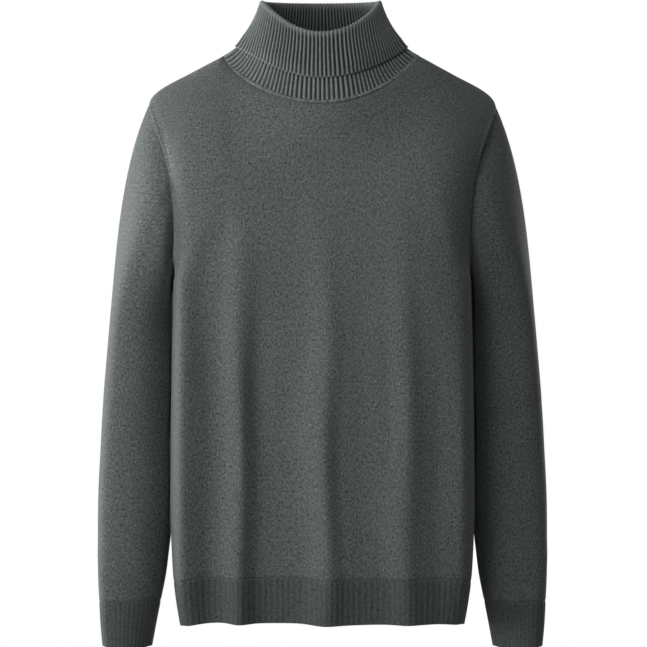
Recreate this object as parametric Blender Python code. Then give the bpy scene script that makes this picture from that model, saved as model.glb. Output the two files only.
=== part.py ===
# A roll-neck pullover in fine knit, filled out with nobody in it. Neck, hem and cuffs are open.
# Metres. The front faces -Y, +X is the wearer's left, +Z is up, and the origin lies on the
# shoulder line where the neck begins. Each knitted piece is one closed solid of real wall
# thickness, and neighbours stand a hair apart along every seam.
import bpy
import numpy as np

bodyWall = 0.0020
ribWall = 0.0024
seamGap = 0.0003
rollGap = 0.0008
sleeveClear = 0.0025
seamY = 0.004

# Torso sections at the side seam's level, from the hem up.
armpitLevel = -0.268
chestLevel = -0.150
ribTopLevel = -0.611
torso = {
    "level": [-0.662, -0.640, -0.611, -0.568, -0.450, -0.330, -0.268, -0.205, -0.150],
    "halfWidth": [0.1625, 0.1662, 0.1701, 0.1728, 0.1735, 0.1715, 0.1700, 0.1700, 0.1700],
    "front": [0.0975, 0.1010, 0.1040, 0.1065, 0.1100, 0.1135, 0.1145, 0.1130, 0.1080],
    "back": [0.0920, 0.0940, 0.0960, 0.0980, 0.0990, 0.1030, 0.1060, 0.1060, 0.1020],
}
frontPower = 6.0
backPower = 2.6
neckReach = 0.116
frontRise = 0.0065
cornerEase = 1.7

# The armhole seam between the armpit and chest level.
armhole = {
    "level": [-0.268, -0.250, -0.215, -0.180, -0.150],
    "x": [0.1700, 0.1696, 0.1700, 0.1716, 0.1750],
    "frontY": [0.004, -0.036, -0.058, -0.066, -0.064],
    "backY": [0.004, 0.046, 0.067, 0.076, 0.074],
}

# The shoulder seam from the armhole to the neck, as seen from the front.
shoulder = {
    "share": [0.00, 0.07, 0.13, 0.20, 0.27, 0.60, 1.00],
    "x": [0.2005, 0.1985, 0.1950, 0.1900, 0.1845, 0.1515, 0.1140],
    "z": [-0.0650, -0.0575, -0.0524, -0.0476, -0.0437, -0.0260, -0.0060],
}
leftShoulderDrop = 0.0022
shoulderSteps = [0.0, 0.08, 0.17, 0.29, 0.45, 0.62, 0.81, 1.0]
shoulderColumns = 7
neckColumns = 18

# The neck seam: half width, then reach and drop at centre front and centre back. On the wearer's
# left it ends a little nearer the neck and higher. Depth counts for less in its equal steps.
neck = {"halfWidth": 0.114, "frontY": -0.088, "backY": 0.076, "sideZ": -0.006}
neckLeftHalfWidth = 0.110
neckLeftRise = 0.0012
neckFrontDrop = 0.0575
neckFrontPower = 1.5
neckLeftPower = 1.62
neckBackDrop = 0.010
neckForwardPower = {"front": 1.6, "back": 1.1}
neckDepthShare = {"front": 0.45, "back": 0.70}

# Soft upright folds: place across the panel and height of the wave at the hem.
folds = {
    "frontX": [-0.1725, -0.162, -0.152, -0.142, -0.130, -0.113, -0.095, -0.072, -0.050, -0.022,
               0.004, 0.025, 0.045, 0.070, 0.097, 0.115, 0.132, 0.150, 0.162, 0.1725],
    "frontOut": [0.0, 0.0030, -0.0005, -0.0050, -0.0085, -0.0060, 0.0010, -0.0050, -0.0055, -0.0020,
                 0.0065, 0.0010, -0.0020, -0.0005, 0.0060, 0.0010, -0.0020, 0.0010, 0.0020, 0.0],
    "backX": [-0.172, -0.125, -0.078, -0.030, 0.022, 0.065, 0.108, 0.140, 0.172],
    "backOut": [0.000, 0.0045, -0.0045, 0.0060, -0.0040, 0.0050, -0.0045, 0.0030, 0.000],
    "level": [-0.662, -0.600, -0.430, -0.350, -0.290, -0.230, -0.150],
    "share": [1.00, 1.00, 0.95, 0.70, 0.42, 0.18, 0.00],
}

# Sleeve sections from the cuff up: outer and inner edge, centre and half depth.
sleeve = {
    "level": [-0.686, -0.660, -0.6325, -0.605, -0.568, -0.513, -0.458, -0.400, -0.330],
    "outer": [0.2530, 0.2553, 0.2568, 0.2582, 0.2587, 0.2585, 0.2560, 0.2527, 0.2468],
    "inner": [0.1955, 0.1910, 0.1858, 0.1804, 0.1758, 0.1690, 0.1660, 0.1650, 0.1640],
    "centreY": [0.000, 0.002, 0.005, 0.009, 0.015, 0.022, 0.026, 0.027, 0.026],
    "halfDepth": [0.0295, 0.0330, 0.0370, 0.0415, 0.0460, 0.0510, 0.0560, 0.0610, 0.0660],
}
sleevePower = 2.3

# Where the sleeve sets off from the armhole: shoulder, front, armpit, back and shoulder again.
sleeveLeave = {
    "around": [0.00, 0.25, 0.50, 0.75, 1.00],
    "x": [0.40, 0.50, 0.35, 0.20, 0.40],
    "y": [0.00, -0.30, 0.05, 0.15, 0.00],
    "z": [-0.90, -0.80, -0.90, -0.90, -0.90],
}
sleeveTopLevel = -0.330
cuffTopLevel = -0.6325
cuffEndLevel = -0.686

# The roll collar: fold line, tangents of the stand at seam and fold, and the turn-down's width.
collarTop = {"halfWidth": 0.067, "frontY": -0.064, "backY": 0.060, "sideZ": 0.0536}
collarTopCentre = -0.002
collarTopFrontDrop = 0.0384
collarTopBackRise = 0.0010
collarTopPower = 2.0
collarTopLeftPower = 1.6
turnDown = {"rightSide": 0.0598, "leftSide": 0.0618, "front": 0.0520, "back": 0.0550}
standLeave = {"side": (-0.075, 0.0, 0.040), "front": (0, 0.038, 0.068), "back": (0, -0.025, 0.060)}
standArrive = {"side": (-0.019, 0.0, 0.064), "front": (0, 0.012, 0.084), "back": (0, -0.008, 0.075)}


def spline(xs, ys, at):
    """Smooth curve through a short table."""
    xs, ys, at = np.asarray(xs, float), np.asarray(ys, float), np.asarray(at, float)
    slope = np.gradient(ys, xs)
    k = np.clip(np.searchsorted(xs, at) - 1, 0, len(xs) - 2)
    width = xs[k + 1] - xs[k]
    t = np.clip((at - xs[k]) / width, 0, 1)
    low = (1 + 2 * t) * (1 - t) ** 2 * ys[k] + t * (1 - t) ** 2 * width * slope[k]
    return low + t * t * (3 - 2 * t) * ys[k + 1] + t * t * (t - 1) * width * slope[k + 1]


def hermite(start, leave, end, arrive, t):
    """Points on a cubic from start to end; t has one entry for each row."""
    t = np.asarray(t, float).reshape(-1, 1, 1)
    a, b = (1 + 2 * t) * (1 - t) ** 2, t * (1 - t) ** 2
    return a * start + b * leave + (1 - a) * end + t * t * (t - 1) * arrive


def unit(vectors):
    return vectors / np.maximum(np.linalg.norm(vectors, axis=-1, keepdims=True), 1e-12)


def arcOf(points):
    """Length along a line of points."""
    steps = np.linalg.norm(np.diff(points, axis=0), axis=1)
    return np.concatenate([[0], np.cumsum(steps)])


def atShares(points, shares):
    """Points at the given shares of a line's length."""
    arc = arcOf(points)
    return np.stack([np.interp(np.asarray(shares) * arc[-1], arc, c) for c in points.T], axis=1)


def foldOut(side, x, level):
    share = spline(folds["level"], folds["share"], level)
    return share * spline(folds[side + "X"], folds[side + "Out"], x)


def torsoRow(side, level, places):
    """One row of a panel from its edge at -X to its edge at +X."""
    front = side == "front"
    depth = spline(torso["level"], torso[side], level)
    power = frontPower if front else backPower
    if level <= armpitLevel:
        halfWidth = edgeX = spline(torso["level"], torso["halfWidth"], level)
    else:
        edgeX = spline(armhole["level"], armhole["x"], level)
        reach = abs(spline(armhole["level"], armhole[side + "Y"], level) - seamY) / depth
        halfWidth = edgeX / (1 - reach**power) ** (1 / power)
    angle = np.linspace(0, np.arcsin(min(1, (edgeX / halfWidth) ** (power / 2))), 600)
    x = halfWidth * np.sin(angle) ** (2 / power)
    reach = np.maximum(np.cos(angle), 0) ** (2 / power)
    reach[angle > 1.5707] = 0
    arc = arcOf(np.stack([x, depth * reach], axis=1))
    middle = np.interp(neckReach, x, arc)
    toEdge, toMiddle = placeShares(places)
    arcs = middle * toMiddle + (arc[-1] - middle) * (1 - toEdge)
    x = np.interp(arcs, arc, x) * np.sign(places - places.mean())
    reach = np.interp(arcs, arc, reach)
    wave = foldOut(side, x, level)
    low = spline(folds["level"], folds["share"], level)
    y = depth * reach + wave
    z = level + low * (reach * (frontRise if front else 0.001) - 0.30 * wave)
    return np.stack([x, seamY - y if front else seamY + y, z], axis=1)


def placeShares(places):
    """Share of the shoulder run out from the edge, and share of the half neck out from the middle."""
    fromEdge = np.minimum(places, places[0] + places[-1] - places)
    toEdge = np.interp(fromEdge, np.arange(shoulderColumns + 1), shoulderSteps)
    toMiddle = 1 - np.clip((fromEdge - shoulderColumns) / (neckColumns / 2), 0, 1)
    return toEdge, toMiddle


def neckSeam(side, count=neckColumns):
    """The neck seam of one panel from -X to +X, in equal steps."""
    front = side == "front"
    angle = np.linspace(0, np.pi, 400)
    left = angle > np.pi / 2
    reach = neck[side + "Y"] - seamY
    power = np.where(left, neckLeftPower, neckFrontPower)
    drop = neckFrontDrop * np.sin(angle) ** power if front else neckBackDrop * np.sin(angle) ** 2
    forward = reach * np.sin(angle) ** neckForwardPower[side]
    x = -np.where(left, neckLeftHalfWidth, neck["halfWidth"]) * np.cos(angle)
    rise = np.where(left, neckLeftRise, 0) * np.cos(angle) ** 2
    line = np.stack([x, seamY + forward, neck["sideZ"] + rise - drop], axis=1)
    arc = arcOf(line * [1, neckDepthShare[side], 1])
    at = np.linspace(0, arc[-1], count + 1)
    return np.stack([np.interp(at, arc, c) for c in line.T], axis=1)


def topEdge(side, places):
    """Shoulder seam, neck seam and shoulder seam again, with the direction in which the panel ends."""
    front = side == "front"
    seam = neckSeam(side, 360)
    toEdge = placeShares(places)[0]
    middle = np.clip((places - shoulderColumns) / neckColumns, 0, 1)
    edge = np.stack([np.interp(middle * 360, np.arange(361), c) for c in seam.T], axis=1)
    onShoulder = toEdge < 1
    sign = np.sign(places[onShoulder] - places.mean())
    atNeck = np.where(sign > 0, toEdge[onShoulder] ** 4, 0)
    inwards = (neck["halfWidth"] - neckLeftHalfWidth) * atNeck
    edge[onShoulder, 0] = spline(shoulder["share"], shoulder["x"], toEdge[onShoulder]) - inwards
    edge[onShoulder, 0] *= sign
    edge[onShoulder, 1] = seamY
    edge[onShoulder, 2] = spline(shoulder["share"], shoulder["z"], toEdge[onShoulder])
    edge[onShoulder, 2] += neckLeftRise * atNeck
    centre = np.sin(np.pi * middle) ** 2
    ease = np.where(onShoulder, np.clip(toEdge / 0.9 - 0.1, 0, 1) ** 2, np.abs(np.cos(np.pi * middle)))
    over = 0.055 + 0.010 * ease - 0.005 * centre
    sideways = -0.030 * ease * np.sign(edge[:, 0])
    up = 0.014 * ease + 0.045 * centre
    return edge, np.stack([sideways, over if front else -over, up], axis=1)


def eased(values, places):
    """Values along a panel's top edge with the corners at the neck rounded off."""
    step = (places[-1] - places[0]) / (len(places) - 1)
    reach = int(round(3 * cornerEase / step))
    kernel = np.exp(-0.5 * (np.arange(-reach, reach + 1) * step / cornerEase) ** 2)
    before = 2 * values[0] - values[reach:0:-1]
    after = 2 * values[-1] - values[-2 : -reach - 2 : -1]
    padded = np.concatenate([before, values, after])
    columns = [np.convolve(c, kernel / kernel.sum(), "valid") for c in padded.T]
    return np.stack(columns, axis=1)


def torsoPanel(side, places, lowLevels, armLevels, topSteps):
    """Rows from the rib up to the shoulder and neck seams."""
    rows = [torsoRow(side, level, places) for level in lowLevels + armLevels]
    chest, under = rows[-1], torsoRow(side, chestLevel - 0.012, places)
    dense = np.linspace(places[0], places[-1], 641)
    edge, arrive = topEdge(side, dense)
    soft = eased(np.concatenate([edge, arrive], axis=1), dense)
    pick = [np.interp(places, dense, c) for c in np.concatenate([edge, soft], axis=1).T]
    edge, softEdge, arrive = np.stack(pick[:3], 1), np.stack(pick[3:6], 1), np.stack(pick[6:], 1)
    span = np.linalg.norm(softEdge - chest, axis=1, keepdims=True)
    leave = unit(chest - under) * span * 0.95
    upper = hermite(chest, leave, softEdge, arrive, topSteps[1:])
    upper += (edge - softEdge) * np.array(topSteps[1:]).reshape(-1, 1, 1) ** 4
    return np.concatenate([np.array(rows), upper])


def sleeveRing(level, shares):
    """One level ring of the +X sleeve, from its outer line by the front, the body side and the back."""
    pick = {key: float(spline(sleeve["level"], sleeve[key], level)) for key in sleeve}
    centre, half = (pick["outer"] + pick["inner"]) / 2, (pick["outer"] - pick["inner"]) / 2
    halves = []
    for sign in (-1, 1):
        angle = np.linspace(0, np.pi, 300)
        x = centre + half * np.sign(np.cos(angle)) * np.abs(np.cos(angle)) ** (2 / sleevePower)
        y = pick["centreY"] + sign * pick["halfDepth"] * np.abs(np.sin(angle)) ** (2 / sleevePower)
        x = np.maximum(x, bodyReach(y, level) + sleeveClear)
        halves.append(np.stack([x, y, np.full(len(x), level)], axis=1))
    front = atShares(halves[0], shares[0])
    back = atShares(halves[1][::-1], shares[1])
    return np.concatenate([front, back[1:-1]])


def bodyReach(y, level):
    """Half width of the torso at a depth, for levels under the armpit."""
    width = spline(torso["level"], torso["halfWidth"], level)
    reach = 0 * y
    for side, power, part in (("front", frontPower, y < seamY), ("back", backPower, y >= seamY)):
        depth = spline(torso["level"], torso[side], level)
        inside = np.clip(1 - np.abs((y - seamY) / depth) ** power, 0, 1)
        reach = np.where(part, width * inside ** (1 / power), reach)
    return reach


def sleeveGrid(front, back, armRows, topSteps, levels):
    """Rows of the +X sleeve from the armhole loop down to the cuff."""
    frontLoop, backLoop = front[armRows:, -1][::-1], back[armRows:, -1]
    shares = [arcOf(loop) / arcOf(loop)[-1] for loop in (frontLoop, backLoop)]
    loop = np.concatenate([frontLoop, backLoop[1:-1]])
    ring, lower = sleeveRing(sleeveTopLevel, shares), sleeveRing(sleeveTopLevel - 0.012, shares)
    around = np.concatenate([shares[0], 1 + shares[1][1:-1]]) / 2
    leave = [spline(sleeveLeave["around"], sleeveLeave[axis], around) for axis in "xyz"]
    leave = np.stack(leave, axis=1)
    span = np.linalg.norm(ring - loop, axis=1, keepdims=True)
    upper = hermite(loop, unit(leave) * span * 0.9, ring, unit(lower - ring) * span, topSteps)
    return np.concatenate([upper, np.array([sleeveRing(level, shares) for level in levels[1:]])])


def settled(grid):
    """The garment sits a little lower on its left shoulder."""
    share = np.clip((grid[..., 0] - 0.085) / 0.08, 0, 1)
    upper = np.clip((grid[..., 2] + 0.30) / 0.22, 0, 1)
    drop = leftShoulderDrop * share**2 * (3 - 2 * share) * upper**2 * (3 - 2 * upper)
    return grid - drop[..., None] * [0, 0, 1]


def mirrored(grid):
    """The other side's grid, with its columns turned round so that it still faces out."""
    return np.concatenate([grid[:, :1], grid[:, :0:-1]], axis=1) * [-1, 1, 1]


def gridNormals(grid, ring):
    """Outward normals of a grid whose columns run anticlockwise from above and whose rows run up."""
    if ring:
        across = np.roll(grid, -1, axis=1) - np.roll(grid, 1, axis=1)
    else:
        across = np.gradient(grid, axis=1)
    return unit(np.cross(across, np.gradient(grid, axis=0)))


def thicknessVectors(pieces):
    """Each piece's inward directions. Neighbours that bend away from each other share one at the seam."""
    normals = {name: gridNormals(grid, ring) for name, (grid, ring, wall) in pieces.items()}
    seams = {}
    for name, (grid, ring, wall) in pieces.items():
        rows, columns = grid.shape[:2]
        for r in range(rows):
            for c in range(columns):
                onEdge = r in (0, rows - 1) or (not ring and c in (0, columns - 1))
                if onEdge:
                    key = tuple(np.round(grid[r, c], 5) + 0.0)
                    seams.setdefault(key, []).append((name, r, c, inward(grid, ring, r, c)))
    for members in seams.values():
        own = [normals[name][r, c].copy() for name, r, c, way in members]
        if len(members) < 2:
            continue
        rise = max(
            float(np.dot(members[j][3], own[i]))
            for i in range(len(own))
            for j in range(len(own))
            if i != j
        )
        if rise < 0.25:
            mean = unit(np.sum(own, axis=0))
            for (name, r, c, way), normal in zip(members, own):
                normals[name][r, c] = mean / max(0.8, float(np.dot(mean, normal)))
    return normals


def inward(grid, ring, r, c):
    """Unit direction from an edge point into its own piece."""
    rows, columns = grid.shape[:2]
    way = np.zeros(3)
    if r in (0, rows - 1):
        way += unit(grid[1 if r == 0 else rows - 2, c] - grid[r, c])
    if not ring and c in (0, columns - 1):
        way += unit(grid[r, 1 if c == 0 else columns - 2] - grid[r, c])
    return way


def drawnBack(grid, ring, inner):
    """Both faces of a piece, pulled half a gap back from every seam."""
    outer, inner = grid.copy(), inner.copy()
    rows, columns = grid.shape[:2]
    for r in range(rows):
        for c in range(columns):
            if r in (0, rows - 1) or (not ring and c in (0, columns - 1)):
                way = inward(grid, ring, r, c) * seamGap / 2
                outer[r, c] += way
                inner[r, c] += way
    return outer, inner


def facesOf(points, rows, columns, ring, first, flip):
    """Two triangles for each cell of a grid, split along its shorter diagonal."""
    faces = []
    for r in range(rows - 1):
        for c in range(columns if ring else columns - 1):
            d = (c + 1) % columns
            a, b = first + r * columns + c, first + r * columns + d
            e, f = first + (r + 1) * columns + d, first + (r + 1) * columns + c
            if np.linalg.norm(points[a] - points[e]) <= np.linalg.norm(points[b] - points[f]):
                cell = [[a, b, e], [a, e, f]]
            else:
                cell = [[a, b, f], [b, e, f]]
            faces += [face[::-1] for face in cell] if flip else cell
    return faces


def clothSolid(name, outer, inner, ring, material):
    """Closed wall between an outer and an inner grid."""
    rows, columns = outer.shape[:2]
    count = rows * columns
    points = np.concatenate([outer.reshape(-1, 3), inner.reshape(-1, 3)])
    faces = facesOf(points, rows, columns, ring, 0, False)
    faces += facesOf(points, rows, columns, ring, count, True)
    rims = [[r * columns + c for c in range(columns)] for r in (0, rows - 1)]
    if ring:
        loops = [rims[0] + rims[0][:1], rims[1][::-1] + rims[1][-1:]]
    else:
        up = [r * columns + columns - 1 for r in range(1, rows - 1)]
        down = [r * columns for r in range(rows - 2, 0, -1)]
        loops = [rims[0] + up + rims[1][::-1] + down + rims[0][:1]]
    for loop in loops:
        for a, b in zip(loop, loop[1:]):
            faces.append([b, a, a + count, b + count])
    addObject(name, points, faces, material)


def addObject(name, points, faces, material):
    mesh = bpy.data.meshes.new(name)
    mesh.from_pydata([tuple(p) for p in points], [], faces)
    mesh.polygons.foreach_set("use_smooth", [True] * len(mesh.polygons))
    mesh.materials.append(material)
    mesh.update()
    bpy.context.collection.objects.link(bpy.data.objects.new(name, mesh))


def fabric(name, colour, roughness):
    material = bpy.data.materials.new(name)
    material.use_nodes = True
    shader = material.node_tree.nodes["Principled BSDF"]
    shader.inputs["Base Color"].default_value = (*colour, 1)
    shader.inputs["Roughness"].default_value = roughness
    material.diffuse_color = (*colour, 1)
    return material


def collarStand(front, back):
    """Stand of the collar as (start, leave, end, arrive) round the whole neck seam, from -X by the front."""
    seam = np.concatenate([front, back[-2:0:-1]])
    columns = len(seam)
    half = columns // 2
    ends, leaves, arrives, widths = [], [], [], []
    for side in ("front", "back"):
        angle = np.linspace(0, np.pi, 400)
        rise = -collarTopFrontDrop if side == "front" else collarTopBackRise
        power = np.where(angle > np.pi / 2, collarTopLeftPower, collarTopPower)
        line = np.stack(
            [
                collarTopCentre - collarTop["halfWidth"] * np.cos(angle),
                collarTop[side + "Y"] * np.sin(angle),
                collarTop["sideZ"] + rise * np.sin(angle) ** power,
            ],
            axis=1,
        )
        run = atShares(line, np.linspace(0, 1, half + 1))
        turn = np.interp(run[:, 0], line[:, 0], angle)
        weight = np.sin(turn)[:, None] ** 2
        toSide = np.stack([-np.cos(turn), 0 * turn, 0 * turn + 1], axis=1)
        parts = []
        for table in (standLeave, standArrive):
            parts.append((1 - weight) * toSide * table["side"] + weight * np.array(table[side]))
        sideShare = (1 - np.cos(turn)[:, None]) / 2
        atSide = turnDown["rightSide"] * (1 - sideShare) + turnDown["leftSide"] * sideShare
        parts.append((1 - weight) * atSide + weight * turnDown[side])
        for store, values in zip((ends, leaves, arrives, widths), [run] + parts):
            store.append(values if side == "front" else values[-2:0:-1])
    leaves, ends, arrives = (np.concatenate(v) for v in (leaves, ends, arrives))
    return (seam, leaves, ends, arrives), np.concatenate(widths).ravel()


def rollCollar(name, curve, widths, baseVectors, material):
    """One rib strip: up from the neck seam as a stand, over a soft fold, and down outside it."""
    dense = hermite(*curve, np.linspace(0, 1, 201))
    outward = gridNormals(dense, True)
    columns = dense.shape[1]
    loops = []
    for c in range(columns):
        arc = arcOf(dense[:, c])
        low = arc[-1] - widths[c]
        marks = np.array([seamGap / 2, low, low + widths[c] * 0.45, arc[-1]])
        stand = np.stack([np.interp(marks, arc, k) for k in dense[:, c].T], axis=1)
        facing = unit(np.stack([np.interp(marks, arc, k) for k in outward[:, c].T], axis=1))
        up = unit(dense[-1, c] - dense[-4, c])
        centre, out = stand[-1] + facing[-1] * rollGap / 2, facing[-1]
        radius = ribWall + rollGap / 2
        arch = [
            centre + radius * (np.cos(a) * out + np.sin(a) * up)
            for a in np.radians([45, 90, 135])
        ]
        loop = list(stand)
        loop.append(centre + rollGap / 2 * up)
        loop += list((stand + facing * rollGap)[:0:-1])
        loop += list((stand + facing * (rollGap + ribWall))[1:])
        loop += arch
        loop += list((stand - facing * ribWall)[:0:-1])
        loop.append(stand[0] - baseVectors[c] * ribWall)
        loops.append(loop)
    points = np.array(loops)
    size = points.shape[1]
    faces = []
    for c in range(columns):
        d = (c + 1) % columns
        for k in range(size):
            m = (k + 1) % size
            faces.append([c * size + k, d * size + k, d * size + m, c * size + m])
    addObject(name, points.reshape(-1, 3), faces, material)


for old in list(bpy.data.objects):
    bpy.data.objects.remove(old)

jersey = fabric("jersey", (0.085, 0.095, 0.092), 0.9)
rib = fabric("rib", (0.078, 0.088, 0.085), 0.9)

lowLevels = [ribTopLevel, -0.560, -0.503, -0.446, -0.389, -0.328]
armLevels = [armpitLevel, -0.240, -0.210, -0.180, chestLevel]
chestSteps = [0.0, 0.18, 0.36, 0.54, 0.72, 0.87, 1.0]
sleeveSteps = [0.0, 0.08, 0.22, 0.40, 0.60, 0.80, 1.0]
sleeveLevels = [sleeveTopLevel, -0.380, -0.430, -0.480, -0.530, -0.580, cuffTopLevel]
hemLevels = [-0.662, -0.637, ribTopLevel]
cuffLevels = [cuffTopLevel, -0.660, cuffEndLevel]

places = np.arange(2 * shoulderColumns + neckColumns + 1)
front = torsoPanel("front", places, lowLevels, armLevels, chestSteps)
back = torsoPanel("back", places, lowLevels, armLevels, chestSteps)
hemFront = np.array([torsoRow("front", level, places) for level in hemLevels])
hemBack = np.array([torsoRow("back", level, places) for level in hemLevels])
leftSleeve = sleeveGrid(front, back, len(lowLevels), sleeveSteps, sleeveLevels)
loopShares = [
    arcOf(loop) / arcOf(loop)[-1]
    for loop in (front[len(lowLevels) :, -1][::-1], back[len(lowLevels) :, -1])
]
leftCuff = np.array([sleeveRing(level, loopShares) for level in cuffLevels])

# Ring grids run down the arm, so they are stored from the cuff up to face out like the panels.
pieces = {
    "front_body": (front, False, bodyWall),
    "back_body": (back[:, ::-1], False, bodyWall),
    "hem_rib_front": (hemFront, False, ribWall),
    "hem_rib_back": (hemBack[:, ::-1], False, ribWall),
    "sleeve_left": (leftSleeve[::-1, ::-1], True, bodyWall),
    "sleeve_right": (mirrored(leftSleeve)[::-1, ::-1], True, bodyWall),
    "cuff_left": (leftCuff[::-1, ::-1], True, ribWall),
    "cuff_right": (mirrored(leftCuff)[::-1, ::-1], True, ribWall),
}
pieces = {name: (settled(grid), ring, wall) for name, (grid, ring, wall) in pieces.items()}
stand, turnWidths = collarStand(settled(neckSeam("front")), settled(neckSeam("back")))
bounds = dict(pieces, roll_collar=(hermite(*stand, [0, 0.1, 0.3, 0.6, 1]), True, ribWall))
vectors = thicknessVectors(bounds)
for name, (grid, ring, wall) in pieces.items():
    outer, inner = drawnBack(grid, ring, grid - vectors[name] * wall)
    clothSolid(name, outer, inner, ring, rib if "rib" in name or "cuff" in name else jersey)
rollCollar("roll_collar", stand, turnWidths, vectors["roll_collar"][0], rib)
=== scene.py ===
# A roll-neck pullover in fine dark knit, worn by nobody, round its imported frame.
import math

import bpy
import numpy as np
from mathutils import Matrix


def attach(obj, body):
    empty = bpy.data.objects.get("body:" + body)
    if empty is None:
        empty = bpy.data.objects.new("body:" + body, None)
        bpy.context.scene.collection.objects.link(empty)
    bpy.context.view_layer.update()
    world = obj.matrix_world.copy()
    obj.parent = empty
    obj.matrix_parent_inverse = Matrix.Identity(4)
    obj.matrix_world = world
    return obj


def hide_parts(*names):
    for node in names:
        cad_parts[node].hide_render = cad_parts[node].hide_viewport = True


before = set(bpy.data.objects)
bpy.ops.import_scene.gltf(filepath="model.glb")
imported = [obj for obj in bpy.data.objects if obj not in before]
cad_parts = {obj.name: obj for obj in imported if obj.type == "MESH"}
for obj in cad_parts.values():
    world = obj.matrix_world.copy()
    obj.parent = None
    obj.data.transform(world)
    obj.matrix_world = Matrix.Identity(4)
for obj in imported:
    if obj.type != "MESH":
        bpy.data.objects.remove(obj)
bpy.ops.object.select_all(action="DESELECT")
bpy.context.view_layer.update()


# The curves follow the garment's solids, in metres. Three things are drawn more strongly than there:
# the front's folds, the armhole, which lies further in, and the sleeves, which lean outwards.
seamY = 0.004                 # the side and shoulder seams stand just behind the middle
armpitLevel = -0.268
chestLevel = -0.150
ribTopLevel = -0.611
stepUnder = 0.012             # a second section this far down gives the cloth's slope

torso = {                     # sections by level, from the hem up
    "level": [-0.662, -0.640, -0.611, -0.568, -0.450, -0.330, -0.268, -0.205, -0.150],
    "halfWidth": [0.1625, 0.1662, 0.1701, 0.1728, 0.1735, 0.1715, 0.1700, 0.1700, 0.1700],
    "front": [0.0975, 0.1010, 0.1040, 0.1065, 0.1100, 0.1135, 0.1145, 0.1130, 0.1080],
    "back": [0.0920, 0.0940, 0.0960, 0.0980, 0.0990, 0.1030, 0.1060, 0.1060, 0.1020],
    "frontPower": 6.0,
    "backPower": 2.6,
    "neckReach": 0.116,
    "frontRise": 0.0065, "backRise": 0.001,   # how much higher the hem is in the middle
    "cornerEase": 1.7, "pull": 0.95,
}
armhole = {                   # from the armpit to chest level
    "level": [-0.268, -0.250, -0.215, -0.180, -0.150],
    "x": [0.1700, 0.1664, 0.1640, 0.1648, 0.1685],
    "frontY": [0.004, -0.036, -0.058, -0.066, -0.064],
    "backY": [0.004, 0.046, 0.067, 0.076, 0.074],
}
shoulder = {                  # from the sleeve head to the neck
    "share": [0.00, 0.07, 0.13, 0.20, 0.27, 0.60, 1.00],
    "x": [0.2005, 0.1985, 0.1950, 0.1900, 0.1845, 0.1515, 0.1140],
    "z": [-0.0650, -0.0575, -0.0524, -0.0476, -0.0437, -0.0260, -0.0060],
    "steps": [0.0, 0.08, 0.17, 0.29, 0.45, 0.62, 0.81, 1.0],
    "columns": 7,
    "leftDrop": 0.0022, "dropFrom": 0.085, "dropAcross": 0.08, "dropLevel": -0.30, "dropUp": 0.22,
}
neck = {                      # on the wearer's left it ends a little higher and nearer the middle
    "halfWidth": 0.114, "leftHalfWidth": 0.110, "leftRise": 0.0012,
    "frontY": -0.088, "backY": 0.076, "sideZ": -0.006,
    "frontDrop": 0.0575, "frontPower": 1.5, "leftPower": 1.62, "backDrop": 0.010,
    "forwardPower": {"front": 1.6, "back": 1.1}, "depthShare": {"front": 0.45, "back": 0.70},
    "columns": 18,
}
edgeArrive = {                # the way on at the top edge: forwards or back over it, sideways and up
    "over": 0.055, "overEnd": 0.010, "overMiddle": 0.005, "sideways": 0.030,
    "upEnd": 0.014, "upMiddle": 0.045, "easeOver": 0.9, "easeFrom": 0.1,
}
lastPlace = 2 * shoulder["columns"] + neck["columns"]   # places count a panel's columns from 0 to this
samples = {                   # at how many points a curve is measured
    "section": 900, "neck": 1200, "ring": 700, "edge": 641, "hem": 1601, "stand": 161, "cut": 30,
}
seamSteps = 360               # steps along one half of the neck seam
folds = {                     # soft upright folds, deepest at the hem
    "frontX": [-0.1725, -0.162, -0.152, -0.142, -0.130, -0.113, -0.095, -0.072, -0.050, -0.022,
               0.004, 0.025, 0.045, 0.070, 0.097, 0.115, 0.132, 0.150, 0.162, 0.1725],
    "frontOut": [0.0, 0.0110, 0.0050, -0.0030, -0.0108, -0.0122, 0.0010, -0.0088, -0.0110, -0.0074,
                 0.0096, 0.0032, -0.0010, -0.0022, 0.0046, -0.0010, -0.0050, -0.0022, 0.0026, 0.0],
    "hemWave": 0.16,
    "backX": [-0.172, -0.125, -0.078, -0.030, 0.022, 0.065, 0.108, 0.140, 0.172],
    "backOut": [0.000, 0.0045, -0.0045, 0.0060, -0.0040, 0.0050, -0.0045, 0.0030, 0.000],
    "level": [-0.662, -0.600, -0.430, -0.350, -0.290, -0.230, -0.150],
    "share": [1.00, 1.00, 0.95, 0.70, 0.42, 0.18, 0.00],
    "edgeShare": [1.00, 1.00, 1.00, 0.95, 0.80, 0.45, 0.00],  # the fold beside the wearer's right edge
    "edgeFrom": -0.090, "edgeReach": 0.025,
    "sway": 0.0030, "swayUp": 24.0, "swayAcross": 25.0, "swayEnd": 0.160,
}
sleeve = {                    # sections by level, from the cuff up
    "level": [-0.686, -0.660, -0.6325, -0.605, -0.568, -0.513, -0.458, -0.400, -0.330],
    "outer": [0.2530, 0.2553, 0.2568, 0.2582, 0.2587, 0.2585, 0.2560, 0.2527, 0.2468],
    "inner": [0.1955, 0.1910, 0.1858, 0.1804, 0.1758, 0.1690, 0.1660, 0.1650, 0.1640],
    "centreY": [0.000, 0.002, 0.005, 0.009, 0.015, 0.022, 0.026, 0.027, 0.026],
    "halfDepth": [0.0295, 0.0330, 0.0370, 0.0415, 0.0460, 0.0510, 0.0560, 0.0610, 0.0660],
}
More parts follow.
